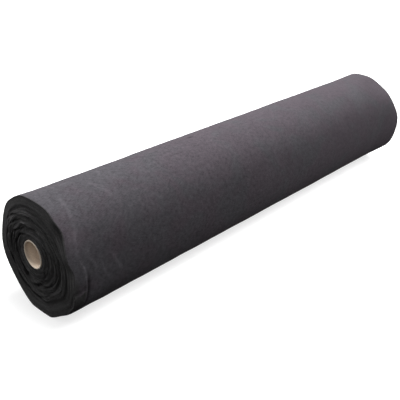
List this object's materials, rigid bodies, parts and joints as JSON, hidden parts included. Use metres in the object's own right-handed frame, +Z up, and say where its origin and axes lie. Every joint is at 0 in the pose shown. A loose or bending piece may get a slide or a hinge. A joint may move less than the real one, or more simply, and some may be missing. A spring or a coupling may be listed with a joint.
{
  "type": "geotextile roll",
  "caption": "Roll of needle-punched felt ground cloth wound on an open cardboard tube, lying on its side, with a loose end that lifts.",
  "frame": {"origin": "on the ground under the middle of the roll, on the flat of the felt that it lies on", "axes": "+X along the roll's axis, from the near end in the picture to the far end; +Y away from the viewer, towards the side where the free end hangs; +Z up"},
  "size_m": [1.11, 0.2332, 0.2277],
  "materials": {
    "felt": "matte",
    "cardboard": "matte",
    "tape": "matte"
  },
  "bodies": {
    "roll": {"core_tube": "cardboard", "starter_tape": "tape", "geotextile_web": "felt"},
    "tail": {"web_tail": "felt"}
  },
  "joints": [
    {"name": "tail_lift", "type": "hinge", "parent": "roll", "child": "tail", "pos_m": [0, 0.05263, 0.21528], "axis": [1, 0, 0], "range_deg": [0, 110]}
  ]
}
